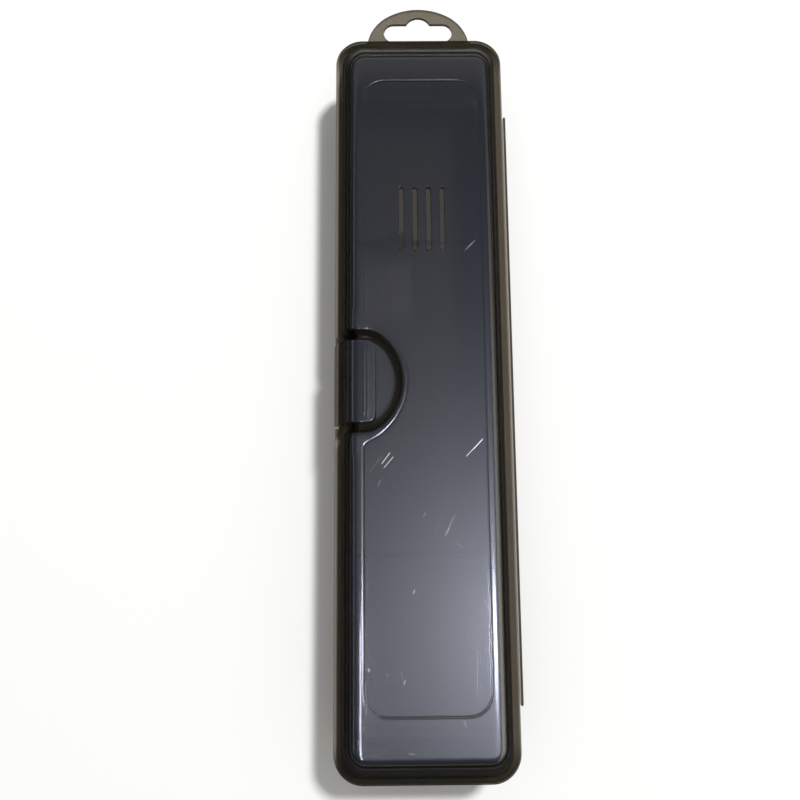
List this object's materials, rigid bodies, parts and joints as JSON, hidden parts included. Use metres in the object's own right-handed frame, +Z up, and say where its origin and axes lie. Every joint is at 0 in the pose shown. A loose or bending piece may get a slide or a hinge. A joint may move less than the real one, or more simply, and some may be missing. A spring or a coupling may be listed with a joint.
{
  "type": "electric toothbrush travel case",
  "caption": "Slim hinged plastic travel case with a hang tab, a vented lid and a side latch flap in a round thumb recess.",
  "frame": {"origin": "centre of the flat bottom of the base, where the case rests", "axes": "+X across the case towards the hinge, +Y along it towards the hang tab, +Z up out of the lid"},
  "size_m": [0.0531, 0.235, 0.0331],
  "materials": {
    "smoke_plastic": "smoke-tinted translucent polypropylene, moulded glossy, with fine wear scratches",
    "film_plastic": "the same smoke-tinted polypropylene in a thin film, so it is paler"
  },
  "bodies": {
    "base": {"base_shell": "smoke_plastic", "base_hinge_film": "film_plastic", "latch_hinge_film": "film_plastic"},
    "spine": {"hinge_spine": "smoke_plastic"},
    "lid": {"lid_shell": "smoke_plastic", "lid_hinge_film": "film_plastic"},
    "latch": {"latch_flap": "smoke_plastic"}
  },
  "joints": [
    {"name": "spine_fold", "type": "hinge", "parent": "base", "child": "spine", "pos_m": [0.0262, 0, 0.0199], "axis": [0, 1, 0], "range_deg": [0, 90]},
    {"name": "lid_fold", "type": "hinge", "parent": "spine", "child": "lid", "pos_m": [0.0262, 0, 0.0222], "axis": [0, 1, 0], "range_deg": [0, 90]},
    {"name": "latch_pivot", "type": "hinge", "parent": "base", "child": "latch", "pos_m": [-0.0251, -0.0003, 0.0199], "axis": [0, -1, 0], "range_deg": [0, 110]}
  ],
  "couplings": [
    {"joint": "spine_fold", "follows": "lid_fold", "ratio": 1}
  ]
}
